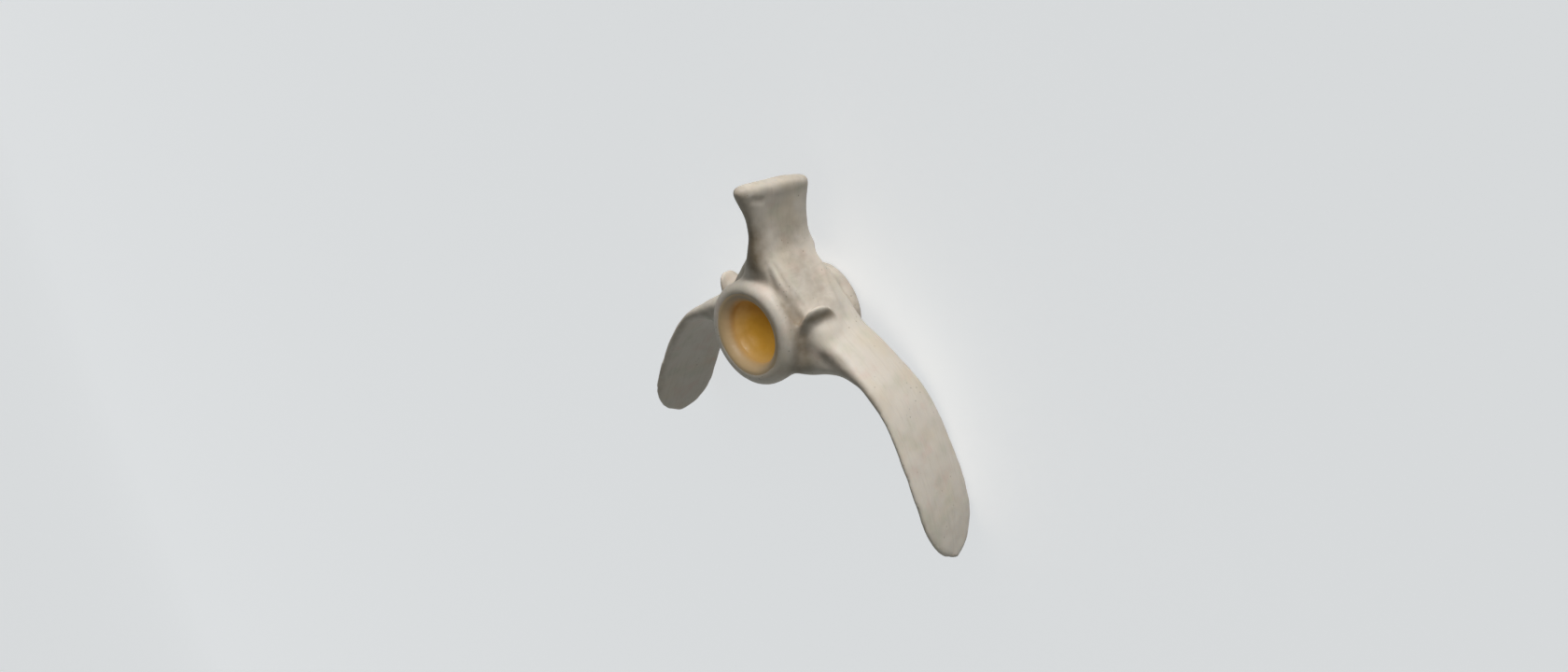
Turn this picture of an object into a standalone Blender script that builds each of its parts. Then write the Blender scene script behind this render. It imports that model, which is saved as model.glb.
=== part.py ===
"""Lumbar vertebra of a grown pig at life size, a still bone lying on the tail end of its body.

The bone is one solid: a short round body with a dished end, an arch with its canal, a tall plate of a
spinous process, two long drooping transverse processes and four small articular processes. A thin dried
lining sits in each dished end. It is modelled with X to the animal's left, Y to its back and Z to its
head, with the body's axis on Z, and is then tipped by the small angle at which it lies on a floor.
"""

import math

import bmesh
import bpy
import numpy as np
from mathutils import Matrix

MM = 0.001

# The driving size, in millimetres: the body is 36 mm across at its head end.
# Every other size of the bone is a share of it.
END_RADIUS = 18.0
LINING_THICKNESS = 1.0
GAP = 0.3  # between a lining and the bone that it sits in
LINING_START = 82.0  # degrees round the dish's curve, so that its edge stays inside the mouth

# Shares of END_RADIUS
HEAD_HALF = 1.05  # from the middle of the body to the crest of its head rim
TAIL_HALF = 0.96  # and to its tail rim
COLLAR = 0.20  # radius of the head rim's rounded section
COLLAR_FOOT = (0.60, 0.86)  # radius and place where the collar's inner slope starts
TAIL_EDGE = 0.12  # radius of the tail rim's rounded edge
WAIST_DROP = 0.10  # the waist hangs this far under the axis, as a blunt keel
OVAL = (1.03, 0.975)  # the ends are a little wider than they are high
LIP = 0.18  # from the collar's crest down to the mouth of the dish
DISH_RADIUS = 0.625
DISH_DEPTH = 0.50
TAIL_DISH_RADIUS = 0.70
TAIL_DISH_DEPTH = 0.17
CANAL_FLOOR = 0.93
CANAL_HALF_WIDTH = 0.24
CANAL_HEIGHT = 0.22
CANAL_GROWTH = 0.9  # how much larger the canal is at its tail end
CANAL_ROOF = 0.65  # the roof's width as a share of the floor's
CANAL_END = 0.40  # the canal stops here, under the closed head end of the arch
CANAL_TIP = (0.25, 0.4)  # how long its rounded end is, and how narrow that starts
CANAL_REACH = 1.6  # how far the cutter goes past the tail

# Down the body's side from the collar to the tail rim: radius, place along the axis
WAIST_PROFILE = (
    (1.00, 0.81),
    (0.93, 0.55),
    (0.84, 0.20),
    (0.80, -0.15),
    (0.85, -0.42),
    (0.93, -0.70),
    (0.99, -0.85),
)

# Centre, half sizes, and turn about the body's axis in degrees
PEDICLE = ((0.76, 0.34, -0.03), (0.34, 0.45, 0.48), -35.0)
SHOULDER = ((1.07, 0.05, 0.22), (0.41, 0.44, 0.42), 0.0)
WEB = ((1.02, -0.24, 0.22), (0.46, 0.34, 0.45), 0.0)  # between the body's flank and the shoulder
TAIL_PROCESS = ((0.44, 0.72, -0.60), (0.16, 0.18, 0.30), 0.0)

# Fineness
VOXEL = 0.7
FILLET_ROUNDS = 24  # rounds of smoothing where pieces join
FILLET_REACH = (2.5, 0.7)  # the joins lie within this distance of the axis, fading over the second
FILLET_TOP = (1.0, 0.25)  # the head rim from here up keeps its shape, fading over the second
EDGE_ROUNDS = 5  # rounds of smoothing all over
TRIANGLES = 8000
RING_POINTS = 28
BODY_STEPS = 64
DISH_STEPS = 36
SPINE_STEPS = 44
TONGUE_STEPS = 20
TILTS = (-10.0, 20.0)  # degrees between which the bone comes to rest

# Height over the body's axis, head edge and tail edge along the axis, half thickness
SPINE_SECTIONS = (
    (0.63, 0.66, -0.63, 0.45),
    (0.90, 0.80, -0.72, 0.46),
    (1.10, 0.90, -0.70, 0.38),
    (1.34, 0.96, -0.58, 0.26),
    (1.60, 0.97, -0.46, 0.18),
    (1.85, 0.98, -0.41, 0.14),
    (2.15, 1.07, -0.38, 0.135),
    (2.42, 1.22, -0.38, 0.16),
    (2.62, 1.31, -0.38, 0.185),
    (2.70, 1.28, -0.34, 0.15),
    (2.74, 1.18, -0.24, 0.07),
)
SPINE_SQUARE = 0.6  # how square its section is, down from 1 for an ellipse
SPINE_FALL = 0.04  # how far the top border falls towards the tail

# Down the left side from inside the spine, over the arch and out along the transverse process:
# distance out, height, head edge and tail edge along the axis, half thickness
BLADE_SECTIONS = (
    (0.02, 1.85, 0.86, -0.40, 0.06),
    (0.09, 1.45, 0.90, -0.48, 0.12),
    (0.40, 0.98, 0.80, -0.56, 0.19),
    (0.80, 0.52, 0.60, -0.62, 0.23),
    (1.22, 0.07, 0.58, -0.70, 0.25),
    (1.82, -0.27, 0.51, -0.81, 0.22),
    (2.63, -0.87, 0.47, -0.97, 0.13),
    (3.38, -2.17, 0.41, -1.11, 0.11),
    (3.85, -3.50, 0.27, -1.16, 0.09),
)
BLADE_TWIST = 6.5  # degrees that the head edge of a transverse process turns outwards
TWIST_START = 1.2  # distance out where the turn starts
BLADE_STEPS = 60
BLADE_TIP = 0.15  # the rounded end, as a share of the blade's length

# The thick root of the transverse process, from the body's flank out under the blade
ROOT_SECTIONS = (
    (0.45, -0.37, 0.74, -0.40, 0.28),
    (0.90, -0.40, 0.75, -0.46, 0.27),
    (1.30, -0.34, 0.57, -0.58, 0.26),
    (1.80, -0.39, 0.48, -0.78, 0.16),
    (2.30, -0.68, 0.43, -0.86, 0.08),
)
ROOT_STEPS = 24
ROOT_TIP = 0.2

# The tongue, an upright plate on the arch's shoulder, from its tail end to its head end: place along the
# axis, distance out of its top, height of its top and of its sunk foot, half thickness
TONGUE_SECTIONS = (
    (-0.10, 1.20, 0.34, 0.04, 0.05),
    (0.03, 1.22, 0.48, 0.04, 0.06),
    (0.20, 1.23, 0.67, 0.06, 0.08),
    (0.40, 1.23, 0.76, 0.08, 0.08),
    (0.58, 1.20, 0.75, 0.14, 0.07),
    (0.68, 1.14, 0.66, 0.24, 0.06),
    (0.74, 1.09, 0.55, 0.36, 0.05),
)
TONGUE_LEAN = 0.45  # how far it leans out for its height
TONGUE_KEPT = ((1.20, 0.72, 0.36), (0.20, 0.20, 0.48))  # centre and reach of what keeps its thin edge


UNIT = END_RADIUS * MM  # one share, in metres


def linear(value):
    """One sRGB channel, 0 to 1, as linear light."""
    return value / 12.92 if value <= 0.04045 else ((value + 0.055) / 1.055) ** 2.4


def make_material(name, colour, roughness):
    material = bpy.data.materials.new(name)
    material.use_nodes = True
    shader = material.node_tree.nodes["Principled BSDF"]
    red, green, blue = (linear(int(colour[i : i + 2], 16) / 255) for i in (0, 2, 4))
    shader.inputs["Base Color"].default_value = (red, green, blue, 1.0)
    shader.inputs["Roughness"].default_value = roughness
    shader.inputs["Metallic"].default_value = 0.0
    return material


def object_from(name, mesh, collection):
    piece = bpy.data.objects.new(name, mesh)
    collection.objects.link(piece)
    return piece


def applied(piece, name):
    """The piece's mesh with its modifiers applied, under its own name and without the old object."""
    graph = bpy.context.evaluated_depsgraph_get()
    mesh = bpy.data.meshes.new_from_object(piece.evaluated_get(graph))
    mesh.transform(piece.matrix_world)
    collection = piece.users_collection[0]
    bpy.data.objects.remove(piece)
    return object_from(name, mesh, collection)


def smooth_between(stations, count):
    """Points on a Catmull-Rom curve through the stations, each a tuple of numbers, evenly by station."""
    knots = np.array(stations, float)
    knots = np.vstack([2 * knots[0] - knots[1], knots, 2 * knots[-1] - knots[-2]])
    places = np.linspace(0, len(stations) - 1, count)
    spans = np.minimum(places.astype(int), len(stations) - 2)
    t = (places - spans)[:, None]
    a, b, c, d = (knots[spans + i] for i in range(4))
    return 0.5 * (2 * b + (c - a) * t + (2 * a - 5 * b + 4 * c - d) * t**2 + (3 * (b - c) + d - a) * t**3)


def oval(centre, wide, thin, squareness=0.85):
    """A closed ring of points round a centre, with half axes wide and thin."""
    turns = np.linspace(0, 2 * math.pi, RING_POINTS, endpoint=False)
    across, along = np.sin(turns), np.cos(turns)
    along = np.sign(along) * np.abs(along) ** squareness
    across = np.sign(across) * np.abs(across) ** squareness
    return centre + along[:, None] * wide + across[:, None] * thin


def loft(name, rings, collection):
    """A closed skin over a row of rings that all have the same number of points."""
    shape = bmesh.new()
    loops = [[shape.verts.new(point * UNIT) for point in ring] for ring in rings]
    for low, high in zip(loops, loops[1:]):
        for i in range(len(low)):
            j = (i + 1) % len(low)
            shape.faces.new((low[i], low[j], high[j], high[i]))
    shape.faces.new(reversed(loops[0]))
    shape.faces.new(loops[-1])
    bmesh.ops.recalc_face_normals(shape, faces=shape.faces)
    mesh = bpy.data.meshes.new(name)
    shape.to_mesh(mesh)
    shape.free()
    return object_from(name, mesh, collection)


def lathe(name, profile, steps, collection):
    """A profile of (radius, height) from the axis at the top round to the axis at the bottom, turned."""
    mesh = bpy.data.meshes.new(name)
    points = [(radius * UNIT, 0, height * UNIT) for radius, height in profile]
    mesh.from_pydata(points, [(i, i + 1) for i in range(len(points) - 1)], [])
    piece = object_from(name, mesh, collection)
    screw = piece.modifiers.new("turn", "SCREW")
    screw.steps = screw.render_steps = steps
    screw.use_merge_vertices = True
    screw.merge_threshold = 0.00001
    return applied(piece, name)


def ellipsoid(name, centre, halves, turn, collection):
    """A ball drawn out to the three half axes, turned about Z by an angle in degrees."""
    mesh = bpy.data.meshes.new(name)
    shape = bmesh.new()
    bmesh.ops.create_uvsphere(shape, u_segments=32, v_segments=20, radius=1.0)
    place = Matrix.Translation(np.array(centre) * UNIT) @ Matrix.Rotation(math.radians(turn), 4, "Z")
    shape.transform(place @ Matrix.Diagonal([half * UNIT for half in halves] + [1]))
    shape.to_mesh(mesh)
    shape.free()
    return object_from(name, mesh, collection)


def arc(centre, radius, start, stop, count=7):
    """Points (radius, height) on a circle in the profile's plane, angles in degrees from +radius."""
    turns = np.radians(np.linspace(start, stop, count))
    return [(centre[0] + radius * math.cos(t), centre[1] + radius * math.sin(t)) for t in turns]


def stretch(piece):
    """Gives a turned piece the body's slightly oval outline."""
    piece.data.transform(Matrix.Diagonal((*OVAL, 1, 1)))


def bowl(radius, depth, mouth, start=90.0):
    """A dish as (radius, height) from its mouth to its bottom on the axis. A negative depth opens down."""
    turns = np.linspace(math.radians(start), 0, 9)
    return [(radius * math.sin(t) ** 0.9, mouth - depth * math.cos(t)) for t in turns]


def offset(profile, distance):
    """The profile moved by the distance to the side of its axis, along its own normals."""
    points = np.array(profile)
    ahead = np.gradient(points, axis=0)
    ahead /= np.linalg.norm(ahead, axis=1)[:, None]
    side = np.stack([ahead[:, 1], -ahead[:, 0]], axis=1)
    side[-1] = (0, np.sign(side[-1, 1]))
    moved = points + side * distance * np.sign(side[-1, 1]) * np.sign(points[0, 1] - points[-1, 1])
    moved[0, 1] = points[0, 1]
    moved[-1, 0] = 0
    return [tuple(point) for point in moved]


def make_body(collection):
    """The body without its dishes: a waisted spool with a rounded collar at the head end."""
    profile = [(0, COLLAR_FOOT[1]), COLLAR_FOOT]
    profile += arc((1 - COLLAR, HEAD_HALF - COLLAR), COLLAR, 165, 0, 12)
    profile += [tuple(point) for point in smooth_between(WAIST_PROFILE, 19)]
    tail_radius = WAIST_PROFILE[-1][0]
    profile += arc((tail_radius - TAIL_EDGE, TAIL_EDGE - TAIL_HALF), TAIL_EDGE, -15, -90, 5)
    profile += [(0, -TAIL_HALF)]
    body = lathe("body", profile, BODY_STEPS, collection)
    for vertex in body.data.vertices:
        place = np.clip(abs(vertex.co.z / UNIT) / HEAD_HALF, 0, 1)
        vertex.co.y -= WAIST_DROP * UNIT * (1 - place**2) ** 2
    stretch(body)
    return body


def make_spine(collection):
    rings = []
    top = SPINE_SECTIONS[-1][0]
    for height, head, tail, half in smooth_between(SPINE_SECTIONS, SPINE_STEPS):
        centre, reach = (head + tail) / 2, (head - tail) / 2
        middle = np.array([0, height, centre])
        ring = oval(middle, np.array([0, 0, reach]), np.array([half, 0, 0]), SPINE_SQUARE)
        share = np.clip(1 - (top - height) / 0.6, 0, 1)
        tailwards = np.clip((centre - ring[:, 2]) / reach, 0, 1)
        ring[:, 1] -= SPINE_FALL * share * tailwards**2
        rings.append(ring)
    return loft("spine", rings, collection)


def make_strap(name, sections, steps, tip_share, collection):
    """A bent blade through the sections, rounded over the last tip_share of its length."""
    stations = smooth_between(sections, steps)
    path = stations[:, :2]
    ahead = np.gradient(path, axis=0)
    ahead /= np.linalg.norm(ahead, axis=1)[:, None]
    run = np.concatenate([[0], np.cumsum(np.linalg.norm(np.diff(path, axis=0), axis=1))])
    left = np.clip((run[-1] - run) / (tip_share * run[-1]), 0, 1)
    shrink = np.sqrt(np.clip(1 - (1 - left) ** 2, 0.004, 1))
    rings = []
    for (out, up, head, tail, half), (step_out, step_up), size in zip(stations, ahead, shrink):
        centre = np.array([out, up, (head + tail) / 2])
        twist = math.radians(BLADE_TWIST * np.clip(out - TWIST_START, 0, 1))
        upright, facing = np.array([0, 0, 1]), np.array([-step_up, step_out, 0])
        wide = (upright * math.cos(twist) + facing * math.sin(twist)) * (head - tail) / 2 * size
        thin = (facing * math.cos(twist) - upright * math.sin(twist)) * half * max(size, 0.35)
        rings.append(oval(centre, wide, thin))
    return loft(name, rings, collection)


def make_tongue(collection):
    """The upright plate on the arch's shoulder, whose flat sides face left and right."""
    rings = []
    for along, out, top, foot, half in smooth_between(TONGUE_SECTIONS, TONGUE_STEPS):
        upward = np.array([TONGUE_LEAN, 1, 0]) * (top - foot) / 2
        rings.append(oval(np.array([out, top, along]) - upward, upward, np.array([half, 0, 0])))
    return loft("tongue", rings, collection)


def mirrored(piece, collection):
    """A copy of the piece on the animal's right."""
    shape = bmesh.new()
    shape.from_mesh(piece.data)
    bmesh.ops.scale(shape, vec=(-1, 1, 1), verts=shape.verts)
    bmesh.ops.reverse_faces(shape, faces=shape.faces)
    mesh = bpy.data.meshes.new(piece.name + "_right")
    shape.to_mesh(mesh)
    shape.free()
    return object_from(mesh.name, mesh, collection)


def make_dish_cutter(radius, depth, mouth, outside, collection):
    """The room of a dished end, from the bottom of its bowl straight out past the rim."""
    wall = bowl(radius, depth, mouth)
    rim = [(0, outside), (radius, outside)]
    profile = rim + wall if depth > 0 else wall[::-1] + rim[::-1]
    cutter = lathe("dish_cutter", profile, DISH_STEPS, collection)
    stretch(cutter)
    return cutter


def make_lining(name, radius, depth, mouth, collection):
    """A thin dried skin that lies in a dished end, GAP off the bone."""
    against = offset(bowl(radius, depth, mouth, LINING_START), GAP / END_RADIUS)
    face = offset(bowl(radius, depth, mouth, LINING_START), (GAP + LINING_THICKNESS) / END_RADIUS)
    profile = face[::-1] + against if depth > 0 else against[::-1] + face
    lining = lathe(name, profile, DISH_STEPS, collection)
    stretch(lining)
    return lining


def make_canal_cutter(collection):
    """A rounded triangular tunnel between the body and the arch, wider towards the tail, where it opens."""
    rings = []
    length, narrow = CANAL_TIP
    for along in np.linspace(CANAL_END, -CANAL_REACH, 25):
        growth = 1 + CANAL_GROWTH * np.clip((0.6 - along) / 1.1, 0, 1)
        growth *= narrow + (1 - narrow) * np.sin(np.pi / 2 * np.clip((CANAL_END - along) / length, 0, 1))
        half, height = CANAL_HALF_WIDTH * growth, CANAL_HEIGHT * growth
        centre = np.array([0, CANAL_FLOOR + height / 2, along])
        ring = oval(centre, np.array([half, 0, 0]), np.array([0, height / 2, 0]))
        ring[:, 0] *= 1 - (1 - CANAL_ROOF) * np.clip((ring[:, 1] - CANAL_FLOOR) / height, 0, 1)
        rings.append(ring)
    return loft("canal_cutter", rings, collection)


def boolean(piece, operation, operand):
    modifier = piece.modifiers.new(operation.lower(), "BOOLEAN")
    modifier.operation = operation
    modifier.solver = "MANIFOLD"  # the exact solver turns the canal's cut inside out
    if operation == "UNION":
        modifier.operand_type = "COLLECTION"
        modifier.collection = operand
    else:
        modifier.object = operand
    return applied(piece, piece.name)


def keep_largest(piece):
    """Leaves only the largest closed surface of the mesh."""
    shape = bmesh.new()
    shape.from_mesh(piece.data)
    bmesh.ops.remove_doubles(shape, verts=shape.verts, dist=1e-7)
    waiting = set(shape.verts)
    groups = []
    while waiting:
        group, edge = set(), {waiting.pop()}
        while edge:
            group |= edge
            edge = {e.other_vert(v) for v in edge for e in v.link_edges} - group
        waiting -= group
        groups.append(group)
    groups.sort(key=len)
    for group in groups[:-1]:
        bmesh.ops.delete(shape, geom=list(group), context="VERTS")
    shape.to_mesh(piece.data)
    shape.free()


def soften(piece):
    """Turns the joined pieces into one even skin and rounds it, most of all where pieces join."""
    remesh = piece.modifiers.new("remesh", "REMESH")
    remesh.mode = "VOXEL"
    remesh.voxel_size = VOXEL * MM
    piece = applied(piece, piece.name)
    group = piece.vertex_groups.new(name="joins")
    (reach, fade), (top, top_fade) = FILLET_REACH, FILLET_TOP
    for vertex in piece.data.vertices:
        x, y, z = (value / UNIT for value in vertex.co)
        near = np.clip((reach - math.hypot(x, y)) / fade, 0, 1) * np.clip((top - z) / top_fade, 0, 1)
        steps = [(value - middle) / half for value, middle, half in zip((abs(x), y, z), *TONGUE_KEPT)]
        near *= np.clip(2 * (math.hypot(*steps) - 0.75), 0, 1)
        group.add([vertex.index], float(near), "REPLACE")
    for rounds, name in ((FILLET_ROUNDS, "joins"), (EDGE_ROUNDS, "")):
        smooth = piece.modifiers.new("smooth", "SMOOTH")
        smooth.factor = 0.5
        smooth.iterations = rounds
        smooth.vertex_group = name
    return applied(piece, piece.name)


def thin_out(piece):
    """Fewer triangles, alike on both sides."""
    shape = bmesh.new()
    shape.from_mesh(piece.data)
    everything = shape.verts[:] + shape.edges[:] + shape.faces[:]
    cut = bmesh.ops.bisect_plane(
        shape, geom=everything, plane_co=(0, 0, 0), plane_no=(-1, 0, 0), clear_outer=True
    )
    for item in cut["geom_cut"]:
        if isinstance(item, bmesh.types.BMVert):
            item.co.x = 0
    shape.to_mesh(piece.data)
    faces = sum(len(face.verts) - 2 for face in shape.faces)
    shape.free()
    decimate = piece.modifiers.new("thin", "DECIMATE")
    decimate.ratio = TRIANGLES / 2 / faces
    decimate.use_collapse_triangulate = True
    mirror = piece.modifiers.new("mirror", "MIRROR")
    mirror.use_axis[0] = True
    mirror.merge_threshold = 0.00005
    return applied(piece, piece.name)


def lay_down(vertebra, parts):
    """Tips every piece about X until the tail rim and both transverse processes touch a floor at Z = 0."""
    points = np.array([vertex.co for vertex in vertebra.data.vertices])
    low, high = (math.radians(tilt) for tilt in TILTS)
    for _ in range(40):
        tilt = (low + high) / 2
        heights = points[:, 1] * math.sin(tilt) + points[:, 2] * math.cos(tilt)
        back_side = points[:, 1] > 0
        if heights[back_side].min() < heights[~back_side].min():
            low = tilt
        else:
            high = tilt
    turned = points @ np.array(Matrix.Rotation(tilt, 3, "X")).T
    least, most = turned.min(axis=0), turned.max(axis=0)
    rest = bpy.data.objects.new("rest_pose", None)
    parts.objects.link(rest)
    rest.rotation_euler.x = tilt
    rest.location = (-(least[0] + most[0]) / 2, -(least[1] + most[1]) / 2, -least[2])
    for piece in parts.objects:
        if piece != rest:
            piece.parent = rest


def build():
    for old in list(bpy.data.objects):
        bpy.data.objects.remove(old)
    parts = bpy.data.collections.new("pig_lumbar_vertebra")
    joined = bpy.data.collections.new("joined")
    for collection in (parts, joined):
        bpy.context.scene.collection.children.link(collection)

    vertebra = make_body(parts)
    vertebra.name = "vertebra"
    make_spine(joined)
    sides = [
        make_strap("blade", BLADE_SECTIONS, BLADE_STEPS, BLADE_TIP, joined),
        make_strap("root", ROOT_SECTIONS, ROOT_STEPS, ROOT_TIP, joined),
        make_tongue(joined),
        ellipsoid("pedicle", *PEDICLE, joined),
        ellipsoid("shoulder", *SHOULDER, joined),
        ellipsoid("web", *WEB, joined),
        ellipsoid("tail_process", *TAIL_PROCESS, joined),
    ]
    for piece in sides:
        mirrored(piece, joined)
    vertebra = boolean(vertebra, "UNION", joined)
    for piece in list(joined.objects):
        bpy.data.objects.remove(piece)
    cutter = make_canal_cutter(joined)
    vertebra = boolean(vertebra, "DIFFERENCE", cutter)
    bpy.data.objects.remove(cutter)
    keep_largest(vertebra)
    vertebra = soften(vertebra)
    vertebra = thin_out(vertebra)

    head_lip = HEAD_HALF - LIP
    dishes = (
        ("disc_lining_head", DISH_RADIUS, DISH_DEPTH, head_lip, head_lip + 0.3),
        ("disc_lining_tail", TAIL_DISH_RADIUS, -TAIL_DISH_DEPTH, -TAIL_HALF, -TAIL_HALF - 0.1),
    )
    amber = make_material("dried_disc", "C08A24", 0.35)
    for name, radius, depth, mouth, outside in dishes:
        cutter = make_dish_cutter(radius, depth, mouth, outside, joined)
        vertebra = boolean(vertebra, "DIFFERENCE", cutter)
        bpy.data.objects.remove(cutter)
        make_lining(name, radius, depth, mouth, parts).data.materials.append(amber)
    keep_largest(vertebra)
    vertebra.data.materials.clear()
    vertebra.data.materials.append(make_material("bone", "D3C9B6", 0.5))
    bpy.data.collections.remove(joined)
    lay_down(vertebra, parts)


build()
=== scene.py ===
"""The looks of a pig's lumbar vertebra at life size: dry bone, with the dried discs in its dished ends.

The bone lies on a pale floor in soft studio light, seen from the photograph's angle.
"""

import math

import bmesh
import bpy
import numpy as np
from mathutils import Matrix, Vector, noise


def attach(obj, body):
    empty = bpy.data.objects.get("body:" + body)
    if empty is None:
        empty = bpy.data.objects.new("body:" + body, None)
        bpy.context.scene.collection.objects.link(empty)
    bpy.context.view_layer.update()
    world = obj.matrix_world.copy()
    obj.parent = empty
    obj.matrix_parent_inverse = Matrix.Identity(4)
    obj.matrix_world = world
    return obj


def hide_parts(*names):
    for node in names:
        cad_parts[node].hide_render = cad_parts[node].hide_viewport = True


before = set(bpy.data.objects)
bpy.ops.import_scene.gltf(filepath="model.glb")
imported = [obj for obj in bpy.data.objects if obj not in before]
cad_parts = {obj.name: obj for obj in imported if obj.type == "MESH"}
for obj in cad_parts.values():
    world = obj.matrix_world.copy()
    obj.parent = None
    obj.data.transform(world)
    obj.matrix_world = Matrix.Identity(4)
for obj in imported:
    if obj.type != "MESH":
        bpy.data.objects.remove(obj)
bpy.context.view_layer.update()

MM = 0.001

# Real sizes of the bone, in millimetres, in its own axes: X to the animal's left, Y to its back and
# Z to its head, from the middle of the body
END_RADIUS = 18.0
END_OVAL = (1.03, 0.975)
RIM = (14.4, 15.3, 3.6)  # the head rim's rounded section: distance out, place along the axis, own radius
CREST = 18.9  # the rim's crest along the axis
HEAD_MOUTH = 15.66  # the mouth of the head end's dish along the axis
HEAD_DISH = (11.25, 9.0)  # radius and depth
TAIL_MOUTH = -17.28
TAIL_DISH = (12.6, -3.06)
LINING_LOW = 6.96  # the lowest point of the head lining along the axis
LINING_THICKNESS = 0.95  # over the bone, with the gap behind it
LAP = 0.15  # how thick the lining is where it laps over the rim
LAP_START = 96  # degrees round the rim's section, from its outside, where the buried edge of the lap is
LAP_RISE = (106, 8)  # degrees where it passes the bone's face, and over which it comes up or down
LINING_WALL = 0.6  # the lining's own wall
DISH_EDGE = (0.84, 0.06)  # shares of END_RADIUS: where the dish's colour ends, and the width of its fade

# How the bone's fine surface is made, in millimetres
GRAIN = 0.5  # size of the skin's cells
SMOOTHING = 26  # rounds that take the solid's facets away
WAVES = (7.0, 3.0)  # lengths of the skin's slow waves
WAVE_HEIGHT = 0.16
HOLLOW_ROUNDS = 60  # rounds of smoothing that a place is set against, to tell hollows from ridges
FIBRE_ROUNDS = 20

# Lines on the left side, which the right side mirrors
ARCH_GROOVE = ((4.9, 24.5, 15.0), (7.5, 17.4, 14.2), (12.6, 12.0, 14.2), (16.0, 7.4, 13.2))
ARCH_RIDGE = ((4.6, 24.8, 13.8), (7.8, 20.1, 12.7), (12.5, 13.0, 11.6), (16.2, 9.6, 10.6))
RIDGE_FOOT = ((5.0, 25.5, 12.2), (6.4, 22.6, 11.4), (10.6, 17.2, 10.8), (15.8, 12.2, 9.6))
TAIL_RIDGE = (
    (4.2, 26.5, -7.0),
    (7.6, 20.6, -6.4),
    (12.9, 16.3, -3.9),
    (17.8, 12.6, -2.6),
    (21.5, 8.4, -2.4),
)
SPINE_NOTCH = ((3.0, 44.8, 18.6), (3.0, 44.2, 15.2))
VALLEY = (
    (13.5, 14.0, 13.5),
    (17.0, 7.0, 13.0),
    (18.3, -1.2, 12.7),
    (19.5, -5.0, 12.0),
    (17.0, -8.0, 13.0),
)
ROOT_FRONT = ((21.1, -4.8, 11.3), (25.7, -2.3, 9.5), (31.7, -4.2, 9.0))
PROCESS_EDGE = ((31.7, -4.2, 9.0), (44.9, -10.8, 8.3), (60.8, -39.1, 7.4), (68.0, -58.0, 5.0))
SPINE_FRONT = ((0.5, 46.5, 22.0), (0.5, 42.0, 20.7), (0.5, 30.2, 17.2))
SPINE_FOOT = ((0.5, 33.0, 18.0), (0.5, 23.0, 16.5))
TONGUE_FACE = ((22.5, 10.5, 2.0), (22.5, 10.0, 9.0), (20.5, 9.0, 12.0))
ARCH_SIDE = ((3.0, 31.0, 4.0), (6.0, 24.0, 3.0), (12.0, 17.5, 3.0), (16.0, 13.0, 2.0))
SPINE_TOP = ((1.0, 47.0, 19.0), (1.0, 48.5, -14.0))
TAIL_RIM = ((0.0, 17.0, -16.0), (12.0, 12.0, -16.0), (17.0, 3.0, -16.0), (16.0, -6.0, -16.0))

# Creases and ridges: line, half width, height over the skin (negative for a groove)
CREASES = (
    (ARCH_GROOVE, 1.1, -0.45),
    (ARCH_RIDGE, 1.3, 0.45),
    (RIDGE_FOOT, 0.9, -0.4),
    (TAIL_RIDGE, 1.3, 0.35),
    (SPINE_NOTCH, 1.3, -0.4),
)

# Where brown painted shade darkens the bone, in its creases, valleys and other shaded places: line, half
# width, strength
PAINTED_SHADE_LINES = (
    (VALLEY, 4.2, 0.80),
    (ROOT_FRONT, 2.8, 0.50),
    (PROCESS_EDGE, 1.8, 0.50),
    (SPINE_FRONT, 3.2, 0.70),
    (SPINE_FOOT, 5.0, 1.0),
    (ARCH_GROOVE[:3], 1.3, 0.50),
    (RIDGE_FOOT, 1.0, 0.35),
    (TONGUE_FACE, 2.4, 0.85),
    (ARCH_SIDE, 7.5, 0.38),
    (SPINE_TOP, 3.0, 0.35),
    (TAIL_RIM, 4.0, 0.35),
)

# Painted shade round the head rim: radius, place along the axis, half width, strength
RIM_PAINTED_SHADE = (13.0, 18.5, 1.7, 0.80)
RIM_PAINTED_SHADE_TURN = 50  # where it is darkest, in degrees from the animal's left to its back

# The middle of the left transverse process, which its fibres follow: out and up
BLADE_PATH = ((14.4, 9.4), (22.0, 1.3), (32.8, -4.9), (47.3, -15.7), (60.8, -39.1), (69.3, -63.0))

# Colours, as sRGB
BONE = "DFD5C8"
BONE_WARM = "D8C9B0"
BONE_ROSY = "DCC6B8"
BONE_GREENISH = "CBC8B4"
BONE_WORN = "E9DFD0"
# Painted shade in the hollows, and the darker streaks of the fibres
BONE_SHADE = "A6967F"
# The brown of the painted shade, in creases, valleys, pores and round the head rim
BONE_PAINTED_SHADE = "877863"
BONE_PEACH = "D0B286"
AMBER_PALE = "D6AA5C"
AMBER = "CC9A34"
AMBER_DEEP = "BC8820"
FLOOR = "D9DBDD"

# The camera: 35 degrees high, at this place and with these directions in the bone's own axes
LENS = 24.47
SENSOR = 36.0
CAMERA_AZIMUTH = 45.515  # degrees from the head end round to the animal's left
CAMERA_HEIGHT = 23.532  # degrees towards its back
CAMERA_ROLL = 0.619
CAMERA_DISTANCE = 352.94
CAMERA_ASIDE = (1.611, 5.510)  # how far the picture's middle lies from the body's, right and up

# The light, which stands nearly level with the floor behind the spinous process
KEY_DISTANCE = 1.0  # in metres, as its size is
KEY_SIZE = 0.35
KEY_PLACE = (0.23, 0.96, 0.06)
KEY_POWER = 14.0
DISH_KEY_PLACE = (0.35, 0.93, 0.28)
DISH_KEY_POWER = 4.8
SKY = "E9EEEA"
SKY_STRENGTH = 0.19
FLOOR_GLOW = 0.81

# The floor, in metres: its flat part's radius, the curve at its edge, and the top of its wall
FLOOR_RADIUS = 1.6
FLOOR_CURVE = 0.6
WALL_TOP = 2.2
FLOOR_DROP = 0.1 * MM  # keeps it clear of the bone's underside


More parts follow.
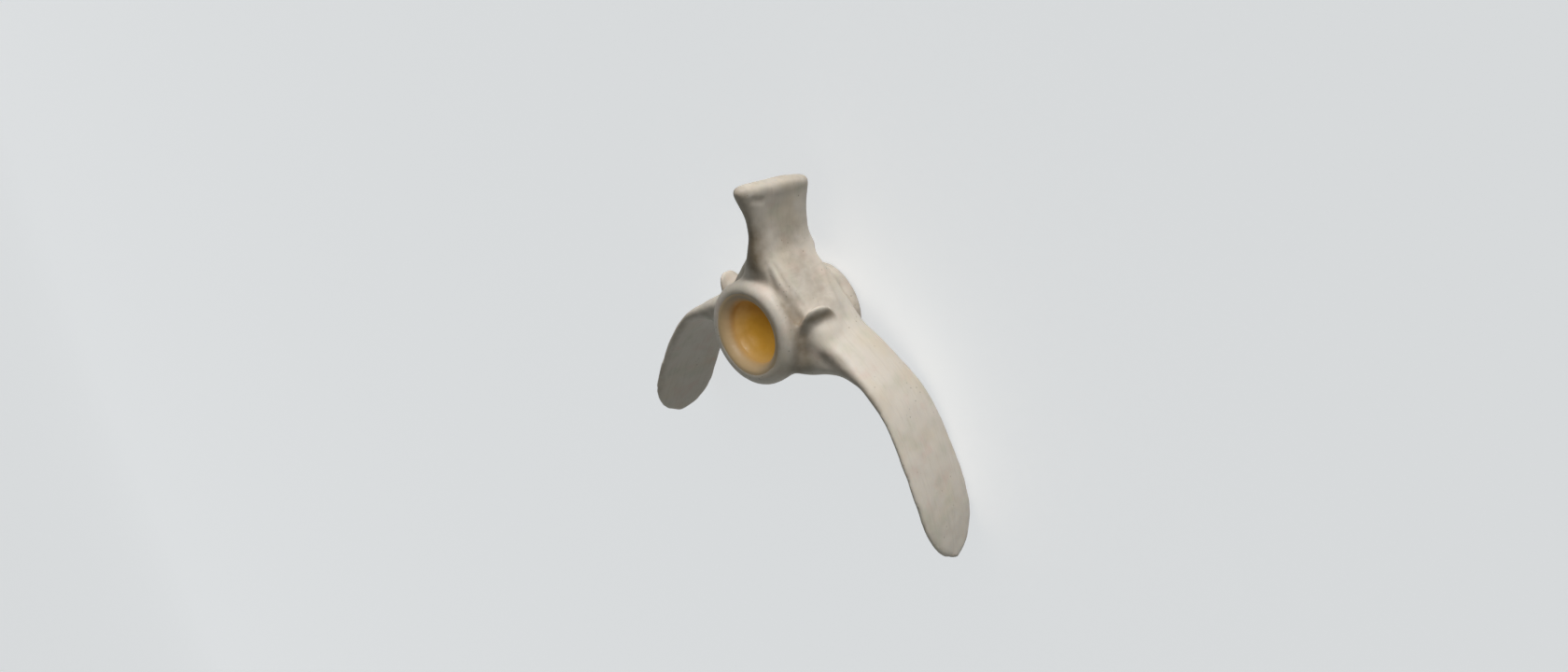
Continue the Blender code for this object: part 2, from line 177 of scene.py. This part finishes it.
def linear(colour):
    """An sRGB hex colour as linear light, with an alpha of 1."""
    channels = [int(colour[i : i + 2], 16) / 255 for i in (0, 2, 4)]
    return tuple(c / 12.92 if c <= 0.04045 else ((c + 0.055) / 1.055) ** 2.4 for c in channels) + (1.0,)


def add_node(tree, kind, inputs=(), output=0, **settings):
    """Adds a node with its settings and gives one of its outputs. Each input is a socket or a value."""
    node = tree.nodes.new(kind)
    for name, value in settings.items():
        setattr(node, name, value)
    for name, value in dict(inputs).items():
        if isinstance(value, bpy.types.NodeSocket):
            tree.links.new(value, node.inputs[name])
        else:
            node.inputs[name].default_value = value
    return node.outputs[output]


def mesh_points(mesh):
    """The mesh's vertices as rows of x, y and z, in metres."""
    points = np.empty(len(mesh.vertices) * 3, np.float32)
    mesh.vertices.foreach_get("co", points)
    return points.reshape(-1, 3).astype(float)


def bone_axes():
    """The matrix from the bone's own axes, in metres, to the room, from the two linings on its axis."""
    names = ("disc_lining_head", "disc_lining_tail")
    head, tail = (mesh_points(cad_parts[name].data) for name in names)
    axis = head.mean(axis=0) - tail.mean(axis=0)
    axis /= np.linalg.norm(axis)
    left = np.array([1.0, 0.0, 0.0])
    back = np.cross(axis, left)
    low = ((head - tail.mean(axis=0)) @ axis).min()
    middle = tail.mean(axis=0) + axis * (low - LINING_LOW * MM)
    matrix = Matrix.Identity(4)
    for column, values in enumerate((left, back, axis, middle)):
        for row in range(3):
            matrix[row][column] = values[row]
    return matrix


AXES = bone_axes()
TURN = np.array(AXES.to_3x3())
MIDDLE = np.array(AXES.translation)


def to_bone(points):
    """Room points in metres as millimetres in the bone's own axes."""
    return (points - MIDDLE) @ TURN / MM


def smooth_values(values, edges, rounds):
    """Averages each vertex's values with its neighbours', for a number of rounds."""
    values = values.astype(float).copy()
    a, b = edges.T
    count = np.bincount(edges.ravel(), minlength=len(values))
    for _ in range(rounds):
        for k in range(values.shape[1]):
            column = values[:, k]
            total = np.bincount(a, column[b], len(column)) + np.bincount(b, column[a], len(column))
            values[:, k] = (column + total / count) / 2
    return values


def distance_to_line(points, line):
    """How far each point is from a bent line."""
    best = np.full(len(points), np.inf)
    for start, end in zip(line, line[1:]):
        start, run = np.array(start), np.array(end) - np.array(start)
        share = np.clip((points - start) @ run / (run @ run), 0, 1)
        best = np.minimum(best, np.linalg.norm(points - start - share[:, None] * run, axis=1))
    return best


def along_path(points, path):
    """How far along a bent line of flat points each point lies, and how far to the side of it."""
    best, run, done = np.full(len(points), np.inf), np.zeros(len(points)), 0.0
    for start, end in zip(path, path[1:]):
        start, step = np.array(start), np.array(end) - np.array(start)
        length = np.linalg.norm(step)
        share = np.clip((points - start) @ step / length**2, 0, 1)
        away = np.linalg.norm(points - start - share[:, None] * step, axis=1)
        run = np.where(away < best, done + share * length, run)
        best = np.minimum(best, away)
        done += length
    return run, best


def store(mesh, name, values):
    """Keeps a number for each vertex of the mesh, which its material reads."""
    mesh.attributes.new(name, "FLOAT", "POINT").data.foreach_set("value", values.astype(np.float32))


def dish_share(points):
    """From 0 on the crest of a rim down into its dish, as a share of END_RADIUS. 0 outside the dishes."""
    x, y, z = (points / END_RADIUS).T
    edge, fade = DISH_EDGE
    inside = np.clip((edge - np.hypot(x / END_OVAL[0], y / END_OVAL[1])) / fade, 0, 1)
    head = np.clip(CREST / END_RADIUS - z, 0, 1) * (z > 0)
    tail = np.clip(z - TAIL_MOUTH / END_RADIUS, 0, 1) * (z < 0) * 3
    return inside * (head + tail) * (np.abs(z) > 0.3)


def rim_painted_shade(points):
    """Painted shade round the head rim, which is missing where the peach lip reaches the rim's outer
    edge.
    """
    x, y, z = points.T
    radius, height, width, strength = RIM_PAINTED_SHADE
    away = np.hypot(np.hypot(x / END_OVAL[0], y / END_OVAL[1]) - radius, z - height)
    turned = np.cos(np.arctan2(y, x) - math.radians(RIM_PAINTED_SHADE_TURN))
    return strength * np.exp(-((away / width) ** 2)) * np.clip(0.5 + 0.9 * turned, 0, 1)


def make_bone():
    """One fine skin over the solid bone, smoothed, with its creases sunk and its ridges raised."""
    shape = bmesh.new()
    shape.from_mesh(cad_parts["vertebra"].data)
    bmesh.ops.remove_doubles(shape, verts=shape.verts, dist=0.001 * MM)
    mesh = bpy.data.meshes.new("bone")
    shape.to_mesh(mesh)
    shape.free()
    coarse = bpy.data.objects.new("bone_coarse", mesh)
    bpy.context.scene.collection.objects.link(coarse)
    remesh = coarse.modifiers.new("cells", "REMESH")
    remesh.mode = "VOXEL"
    remesh.voxel_size = GRAIN * MM
    graph = bpy.context.evaluated_depsgraph_get()
    mesh = bpy.data.meshes.new_from_object(coarse.evaluated_get(graph))
    bpy.data.objects.remove(coarse)

    edges = np.empty(len(mesh.edges) * 2, np.int32)
    mesh.edges.foreach_get("vertices", edges)
    edges = edges.reshape(-1, 2)
    points = mesh_points(mesh)
    smooth = smooth_values(points, edges, SMOOTHING)
    points = smooth + smooth_values(points - smooth, edges, SMOOTHING)
    mesh.vertices.foreach_set("co", points.astype(np.float32).ravel())
    mesh.update()
    normals = np.empty(len(points) * 3, np.float32)
    mesh.vertices.foreach_get("normal", normals)
    normals = normals.reshape(-1, 3).astype(float)

    place = to_bone(points)
    left_side = np.column_stack([np.abs(place[:, 0]), place[:, 1:]])
    lift = np.zeros(len(points))
    for line, width, height in CREASES:
        lift += height * np.exp(-((distance_to_line(left_side, line) / width) ** 2))
    slow, fast = WAVES
    waves = np.array([noise.noise(Vector(p / slow)) + 0.5 * noise.noise(Vector(p / fast)) for p in place])
    rim = np.clip((END_RADIUS - np.hypot(place[:, 0], place[:, 1])) / 2, 0, 1) * (place[:, 2] > 10)
    lift += WAVE_HEIGHT * waves * (1 - rim)
    points += normals * (lift * MM)[:, None]
    mesh.vertices.foreach_set("co", points.astype(np.float32).ravel())
    mesh.update()

    broad = smooth_values(points, edges, HOLLOW_ROUNDS)
    hollow = np.einsum("ij,ij->i", broad - points, normals) / MM
    store(mesh, "hollow", smooth_values(hollow[:, None], edges, 4)[:, 0])
    store(mesh, "dish", dish_share(to_bone(points)))
    # Painted shade: how strongly the bone is darkened to brown, along the listed lines and round the head
    # rim
    painted_shade = np.zeros(len(points))
    for line, width, strength in PAINTED_SHADE_LINES:
        painted_shade = np.maximum(painted_shade, strength * np.exp(-((distance_to_line(left_side, line) / width) ** 2)))
    store(mesh, "painted_shade", np.maximum(painted_shade, rim_painted_shade(place)))
    run, out = along_path(left_side[:, :2], BLADE_PATH)
    fibres = smooth_values(np.stack([run, left_side[:, 2], out], axis=1), edges, FIBRE_ROUNDS)
    for name, column in zip(("fibre_run", "fibre_across", "fibre_out"), fibres.T):
        store(mesh, name, column)
    store(mesh, "on_blade", np.clip((left_side[:, 0] - 15) / 8, 0, 1))
    store(mesh, "on_spine", np.clip((left_side[:, 1] - 20) / 8, 0, 1))
    mesh.shade_smooth()
    bone = bpy.data.objects.new("bone", mesh)
    bpy.context.scene.collection.objects.link(bone)
    mesh.materials.clear()
    mesh.materials.append(bone_material())
    return bone


def spin_profile(profile):
    """A shape turned about the Z axis from a profile of distances out and heights, in metres."""
    shape = bmesh.new()
    verts = [shape.verts.new((out, 0, up)) for out, up in profile]
    edges = [shape.edges.new(pair) for pair in zip(verts, verts[1:])]
    bmesh.ops.spin(
        shape,
        geom=verts + edges,
        cent=(0, 0, 0),
        axis=(0, 0, 1),
        angle=math.tau,
        steps=96,
        use_merge=True,
    )
    bmesh.ops.remove_doubles(shape, verts=shape.verts, dist=0.01 * MM)
    bmesh.ops.recalc_face_normals(shape, faces=shape.faces)
    return shape


def bowl_face(mouth, dish, start):
    """The face of a lining over its dish: distances out and places along the axis.

    It starts at an angle round the dish, in degrees from its bottom.
    """
    radius, depth = dish
    face = []
    for angle in np.radians(np.linspace(start, 0, 30)):
        over = LINING_THICKNESS * min((math.radians(start) - angle) / math.radians(25), 1) + LAP
        over = min(over, LINING_THICKNESS) if start < 85 else over - LAP - 0.3
        side = 1 if depth > 0 else -1
        r = radius * math.sin(angle) ** 0.9 - over * math.sin(angle)
        face.append((max(r, 0), mouth - depth * math.cos(angle) + side * over * math.cos(angle)))
    return face


def make_lining(name, mouth, dish):
    """The dried disc in a dished end: a thin bowl whose edge sinks into the bone.

    At the head end it laps up over the inner slope of the rim.
    """
    depth = dish[1]
    profile = []
    if depth > 0:
        centre, height, section = RIM
        passing, reach = LAP_RISE
        for angle in np.linspace(LAP_START, 176, 20):
            proud = section + LAP * min(max((angle - passing) / reach, -1), 1)
            turn = math.radians(angle)
            profile.append((centre + proud * math.cos(turn), height + proud * math.sin(turn)))
    profile += bowl_face(mouth, dish, 80 if depth > 0 else 86)
    profile[-1] = (0, profile[-1][1])
    shape = spin_profile([(out * MM, up * MM) for out, up in profile])
    mesh = bpy.data.meshes.new(name)
    if shape.faces[len(shape.faces) // 2].normal.z * depth < 0:
        bmesh.ops.reverse_faces(shape, faces=shape.faces)
    bmesh.ops.solidify(shape, geom=shape.faces, thickness=LINING_WALL * MM)
    bmesh.ops.transform(shape, matrix=AXES @ Matrix.Diagonal((*END_OVAL, 1, 1)), verts=shape.verts)
    shape.to_mesh(mesh)
    shape.free()
    place = to_bone(mesh_points(mesh))
    store(mesh, "dish", dish_share(place))
    store(mesh, "painted_shade", rim_painted_shade(place))
    mesh.shade_smooth()
    lining = bpy.data.objects.new(name, mesh)
    bpy.context.scene.collection.objects.link(lining)
    mesh.materials.append(disc_material())
    return lining


def dish_colour(tree, coords, bone_colour):
    """The colour from the bone over the peach lip down into the amber of the dish."""
    inputs = {"Vector": coords, "Scale": 1 / (5.0 * MM), "Detail": 3.0}
    cloud = add_node(tree, "ShaderNodeTexNoise", inputs)
    uneven = add_node(tree, "ShaderNodeMath", {0: cloud, 1: 0.6, 2: 0.7}, operation="MULTIPLY_ADD")
    dish = add_node(tree, "ShaderNodeAttribute", (), "Fac", attribute_name="dish")
    depth = add_node(tree, "ShaderNodeMath", {0: dish, 1: uneven}, operation="MULTIPLY")
    ramp = add_node(tree, "ShaderNodeValToRGB", {"Fac": depth})
    stops = ((0.0, BONE_PEACH), (0.12, BONE_PEACH), (0.34, AMBER_PALE), (0.50, AMBER), (0.75, AMBER_DEEP))
    elements = ramp.node.color_ramp.elements
    while len(elements) < len(stops):
        elements.new(0.5)
    for element, (place, colour) in zip(elements, stops):
        element.position = place
        element.color = linear(colour)
    lip = add_node(tree, "ShaderNodeMapRange", {"Value": depth, "From Min": 0.0, "From Max": 0.05})
    inputs = {"Factor": lip, "A": bone_colour, "B": ramp}
    return add_node(tree, "ShaderNodeMix", inputs, "Result", data_type="RGBA")


def bone_fibres(tree, coords):
    """Fine streaks that run along the spine, out along the transverse processes and down the body."""
    run, across, out, on_blade, on_spine = (
        add_node(tree, "ShaderNodeAttribute", (), "Fac", attribute_name=name)
        for name in ("fibre_run", "fibre_across", "fibre_out", "on_blade", "on_spine")
    )
    laid = add_node(tree, "ShaderNodeCombineXYZ", {"X": run, "Y": across, "Z": out})
    streaks = []
    for base, unit, drawn in (
        (coords, MM, (1, 1, 1 / 9)),
        (coords, MM, (1, 1 / 9, 1)),
        (laid, 1, (1 / 9, 1, 1)),
    ):
        inputs = {"Vector": base, "Scale": [share / (0.9 * unit) for share in drawn]}
        scaled = add_node(tree, "ShaderNodeMapping", inputs)
        inputs = {"Vector": scaled, "Scale": 1.0, "Detail": 4.0}
        streaks.append(add_node(tree, "ShaderNodeTexNoise", inputs))
    body, spine, blade = streaks
    inner = add_node(tree, "ShaderNodeMix", {"Factor": on_spine, "A": body, "B": spine}, "Result")
    return add_node(tree, "ShaderNodeMix", {"Factor": on_blade, "A": inner, "B": blade}, "Result")


def bone_material():
    """Dry, degreased bone, cleaned and left unvarnished.

    A smooth, faintly waxy wall that lets a little light in, warm ivory with grey-green and rosy clouds,
    paler where it is worn, with fine streaks along its fibres and small pores. Its shade is painted on:
    darker in its hollows, and brown in its creases, valleys, pores and other shaded places.
    """
    material = bpy.data.materials.new("dry_bone")
    material.use_nodes = True
    tree = material.node_tree
    shader = tree.nodes["Principled BSDF"]
    shader.inputs["IOR"].default_value = 1.5
    shader.inputs["Specular IOR Level"].default_value = 0.35
    shader.inputs["Subsurface Weight"].default_value = 0.08
    shader.inputs["Subsurface Radius"].default_value = (1.0, 0.6, 0.35)
    shader.inputs["Subsurface Scale"].default_value = 1.5 * MM
    coords = add_node(tree, "ShaderNodeTexCoord", (), "Object")
    hollow, painted_shade = (
        add_node(tree, "ShaderNodeAttribute", (), "Fac", attribute_name=name)
        for name in ("hollow", "painted_shade")
    )
    fibres = bone_fibres(tree, coords)

    # The size of each cloud's lumps in mm, its detail and where it is taken from
    clouds = {}
    for name, size, detail, place in (
        ("warm", 14.0, 4.0, (0.0, 0.0, 0.0)),
        ("rosy", 8.0, 4.0, (0.3, 0.1, 0.2)),
        ("greenish", 9.0, 5.0, (0.7, 0.4, 0.9)),
        ("shade_edges", 2.5, 4.0, (0.0, 0.0, 0.0)),
        ("patches", 10.0, 2.0, (0.2, 0.8, 0.5)),
        ("polish", 3.0, 4.0, (0.0, 0.0, 0.0)),
        ("skin", 0.7, 3.0, (0.0, 0.0, 0.0)),
    ):
        moved = add_node(tree, "ShaderNodeMapping", {"Vector": coords, "Location": place})
        inputs = {"Vector": moved, "Scale": 1 / (size * MM), "Detail": detail}
        clouds[name] = add_node(tree, "ShaderNodeTexNoise", inputs)

    # Each tint comes in over a range of a value, up to its strength
    colour = linear(BONE)
    for tint, value, low, high, strength in (
        (BONE_WARM, clouds["warm"], 0.45, 0.72, 0.5),
        (BONE_ROSY, clouds["rosy"], 0.52, 0.70, 0.5),
        (BONE_GREENISH, clouds["greenish"], 0.50, 0.70, 0.55),
        (BONE_SHADE, fibres, 0.50, 0.76, 0.14),
        (BONE_WORN, fibres, 0.48, 0.26, 0.18),
        (BONE_WORN, hollow, -0.10, -0.9, 0.5),
        # painted shade: the hollows darkened towards BONE_SHADE
        (BONE_SHADE, hollow, 0.08, 0.9, 0.7),
    ):
        inputs = {"Value": value, "From Min": low, "From Max": high, "To Max": strength}
        share = add_node(tree, "ShaderNodeMapRange", inputs, interpolation_type="SMOOTHSTEP")
        inputs = {"Factor": share, "A": colour, "B": linear(tint)}
        colour = add_node(tree, "ShaderNodeMix", inputs, "Result", data_type="RGBA")

    # Painted shade: the bone darkened to brown along the listed lines and round the head rim, uneven at
    # its edges
    near = add_node(tree, "ShaderNodeMapRange", {"Value": painted_shade, "From Min": 0.02, "From Max": 0.3})
    inputs = {0: clouds["shade_edges"], 1: 0.5, 2: -0.25}
    uneven = add_node(tree, "ShaderNodeMath", inputs, operation="MULTIPLY_ADD")
    painted_shade_share = add_node(tree, "ShaderNodeMath", {0: uneven, 1: near, 2: painted_shade}, operation="MULTIPLY_ADD")
    inputs = {"Factor": painted_shade_share, "A": colour, "B": linear(BONE_PAINTED_SHADE)}
    colour = add_node(tree, "ShaderNodeMix", inputs, "Result", data_type="RGBA")

    # Pores of about 0.4 mm, in patches, as small as the picture can show; the darkening in them is
    # painted shade
    inputs = {"Vector": coords, "Scale": 1 / (2.2 * MM), "Randomness": 1.0}
    cells = add_node(tree, "ShaderNodeTexVoronoi", inputs)
    inputs = {"Value": cells, "From Min": 0.15, "From Max": 0.06}
    open_pores = add_node(tree, "ShaderNodeMapRange", inputs)
    inputs = {"Value": clouds["patches"], "From Min": 0.50, "From Max": 0.60}
    patches = add_node(tree, "ShaderNodeMapRange", inputs)
    pores = add_node(tree, "ShaderNodeMath", {0: open_pores, 1: patches}, operation="MULTIPLY")
    share = add_node(tree, "ShaderNodeMath", {0: pores, 1: 0.6}, operation="MULTIPLY")
    inputs = {"Factor": share, "A": colour, "B": linear(BONE_PAINTED_SHADE)}
    colour = add_node(tree, "ShaderNodeMix", inputs, "Result", data_type="RGBA")
    tree.links.new(dish_colour(tree, coords, colour), shader.inputs["Base Color"])

    inputs = {"Value": clouds["polish"], "From Min": 0.3, "From Max": 0.7, "To Min": 0.48, "To Max": 0.64}
    tree.links.new(add_node(tree, "ShaderNodeMapRange", inputs), shader.inputs["Roughness"])
    inputs = {0: clouds["skin"], 1: 0.35, 2: fibres}
    skin = add_node(tree, "ShaderNodeMath", inputs, operation="MULTIPLY_ADD")
    inputs = {0: pores, 1: -1.6, 2: skin}
    skin = add_node(tree, "ShaderNodeMath", inputs, operation="MULTIPLY_ADD")
    inputs = {"Height": skin, "Strength": 0.3, "Distance": 0.06 * MM}
    tree.links.new(add_node(tree, "ShaderNodeBump", inputs), shader.inputs["Normal"])
    return material


def disc_material():
    """Dried disc tissue, shrunk onto the bone: an amber skin like horn or hide glue.

    It is a little glossy, thins to peach at the bone's lip, and has shallow folds.
    """
    material = bpy.data.materials.new("dried_disc_tissue")
    material.use_nodes = True
    tree = material.node_tree
    shader = tree.nodes["Principled BSDF"]
    shader.inputs["IOR"].default_value = 1.52
    shader.inputs["Specular IOR Level"].default_value = 0.35
    coords = add_node(tree, "ShaderNodeTexCoord", (), "Object")
    colour = dish_colour(tree, coords, linear(BONE_PEACH))
    inputs = {"Vector": coords, "Scale": 1 / (3.5 * MM), "Detail": 4.0}
    cloud = add_node(tree, "ShaderNodeTexNoise", inputs)
    inputs = {"Value": cloud, "From Min": 0.50, "From Max": 0.72, "To Max": 0.45}
    blotches = add_node(tree, "ShaderNodeMapRange", inputs)
    dish = add_node(tree, "ShaderNodeAttribute", (), "Fac", attribute_name="dish")
    deep = add_node(tree, "ShaderNodeMapRange", {"Value": dish, "From Min": 0.2, "From Max": 0.5})
    share = add_node(tree, "ShaderNodeMath", {0: blotches, 1: deep}, operation="MULTIPLY")
    inputs = {"Factor": share, "A": colour, "B": linear(AMBER_DEEP)}
    colour = add_node(tree, "ShaderNodeMix", inputs, "Result", data_type="RGBA")
    # Painted shade round the head rim, where the lining laps over it
    painted_shade = add_node(tree, "ShaderNodeAttribute", (), "Fac", attribute_name="painted_shade")
    inputs = {"Factor": painted_shade, "A": colour, "B": linear(BONE_PAINTED_SHADE)}
    colour = add_node(tree, "ShaderNodeMix", inputs, "Result", data_type="RGBA")
    tree.links.new(colour, shader.inputs["Base Color"])
    inputs = {"Vector": coords, "Scale": 1 / (2.0 * MM), "Detail": 3.0}
    gloss = add_node(tree, "ShaderNodeTexNoise", inputs)
    inputs = {"Value": gloss, "From Min": 0.3, "From Max": 0.7, "To Min": 0.34, "To Max": 0.5}
    tree.links.new(add_node(tree, "ShaderNodeMapRange", inputs), shader.inputs["Roughness"])
    drawn = add_node(tree, "ShaderNodeMapping", {"Vector": coords, "Scale": (1, 1, 1 / 3)})
    inputs = {"Vector": drawn, "Scale": 1 / (2.4 * MM), "Detail": 3.0}
    folds = add_node(tree, "ShaderNodeTexNoise", inputs)
    inputs = {"Height": folds, "Strength": 0.4, "Distance": 0.35 * MM}
    tree.links.new(add_node(tree, "ShaderNodeBump", inputs), shader.inputs["Normal"])
    return material


def make_stage():
    """A pale floor that curves up far away, all round."""
    profile = [(0, 0), (FLOOR_RADIUS, 0)]
    for turn in np.linspace(0.2, math.pi / 2, 10):
        out, up = FLOOR_CURVE * math.sin(turn), FLOOR_CURVE * (1 - math.cos(turn))
        profile.append((FLOOR_RADIUS + out, up))
    profile.append((FLOOR_RADIUS + FLOOR_CURVE, WALL_TOP))
    shape = spin_profile([(out, up - FLOOR_DROP) for out, up in profile])
    mesh = bpy.data.meshes.new("floor")
    shape.to_mesh(mesh)
    shape.free()
    mesh.shade_smooth()
    floor = bpy.data.objects.new("floor", mesh)
    bpy.context.scene.collection.objects.link(floor)
    material = bpy.data.materials.new("pale_card")
    material.use_nodes = True
    shader = material.node_tree.nodes["Principled BSDF"]
    shader.inputs["Base Color"].default_value = linear(FLOOR)
    shader.inputs["Roughness"].default_value = 0.8
    shader.inputs["Emission Color"].default_value = linear(FLOOR)
    shader.inputs["Emission Strength"].default_value = FLOOR_GLOW
    mesh.materials.append(material)
    floor.visible_diffuse = False
    return floor


def make_camera():
    """The photograph's camera, set from the bone's own axes."""
    turn, height, roll = (math.radians(a) for a in (CAMERA_AZIMUTH, CAMERA_HEIGHT, CAMERA_ROLL))
    level_part = math.cos(height)
    towards = Vector((math.sin(turn) * level_part, math.sin(height), math.cos(turn) * level_part))
    level = Vector((math.cos(turn), 0, -math.sin(turn)))
    upright = towards.cross(level)
    right = level * math.cos(roll) + upright * math.sin(roll)
    up = upright * math.cos(roll) - level * math.sin(roll)
    place = towards * CAMERA_DISTANCE - right * CAMERA_ASIDE[0] - up * CAMERA_ASIDE[1]
    matrix = Matrix.Identity(4)
    for column, values in enumerate((right, up, towards, place * MM)):
        for row in range(3):
            matrix[row][column] = values[row]
    camera = bpy.data.cameras.new("camera")
    camera.lens = LENS
    camera.sensor_width = SENSOR
    camera.clip_start = 0.01
    viewer = bpy.data.objects.new("camera", camera)
    bpy.context.scene.collection.objects.link(viewer)
    viewer.matrix_world = AXES @ matrix
    bpy.context.scene.camera = viewer


def make_light(name, towards, power, state, listed):
    """A soft square light that stands in a direction given in the bone's axes and faces the bone.

    The state says whether it lights only the listed pieces, or everything else.
    """
    lamp = bpy.data.lights.new(name, "AREA")
    lamp.size = KEY_SIZE
    lamp.energy = power
    light = bpy.data.objects.new(name, lamp)
    bpy.context.scene.collection.objects.link(light)
    direction = AXES.to_3x3() @ Vector(towards).normalized()
    light.location = Vector(MIDDLE) + direction * KEY_DISTANCE
    light.rotation_euler = direction.to_track_quat("Z", "Y").to_euler()
    light.visible_camera = False
    lit = bpy.data.collections.new(name + "_lights")
    for piece in listed:
        lit.objects.link(piece)
        lit.collection_objects[-1].light_linking.link_state = state
    light.light_linking.receiver_collection = lit
    return lamp


def make_lights(linings, floor):
    """One soft key light and a pale sky. The key's light also gets into the dish, past the rim.

    The key stands low, so it leaves the floor out, which would burn out beside it.
    """
    make_light("key", KEY_PLACE, KEY_POWER, "EXCLUDE", [*linings, floor])
    in_dish = make_light("key_in_dish", DISH_KEY_PLACE, DISH_KEY_POWER, "INCLUDE", linings)
    in_dish.use_shadow = False
    world = bpy.data.worlds.new("studio")
    bpy.context.scene.world = world
    world.use_nodes = True
    sky = world.node_tree.nodes["Background"]
    sky.inputs["Color"].default_value = linear(SKY)
    sky.inputs["Strength"].default_value = SKY_STRENGTH


bone = make_bone()
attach(bone, "root")
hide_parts("vertebra")
linings = []
for name, mouth, dish in (
    ("disc_lining_head", HEAD_MOUTH, HEAD_DISH),
    ("disc_lining_tail", TAIL_MOUTH, TAIL_DISH),
):
    lining = make_lining(name.replace("disc_lining", "dried_disc"), mouth, dish)
    linings.append(lining)
    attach(lining, "root")
    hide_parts(name)

floor = make_stage()
make_camera()
make_lights(linings, floor)
bpy.context.scene.view_settings.view_transform = "Standard"
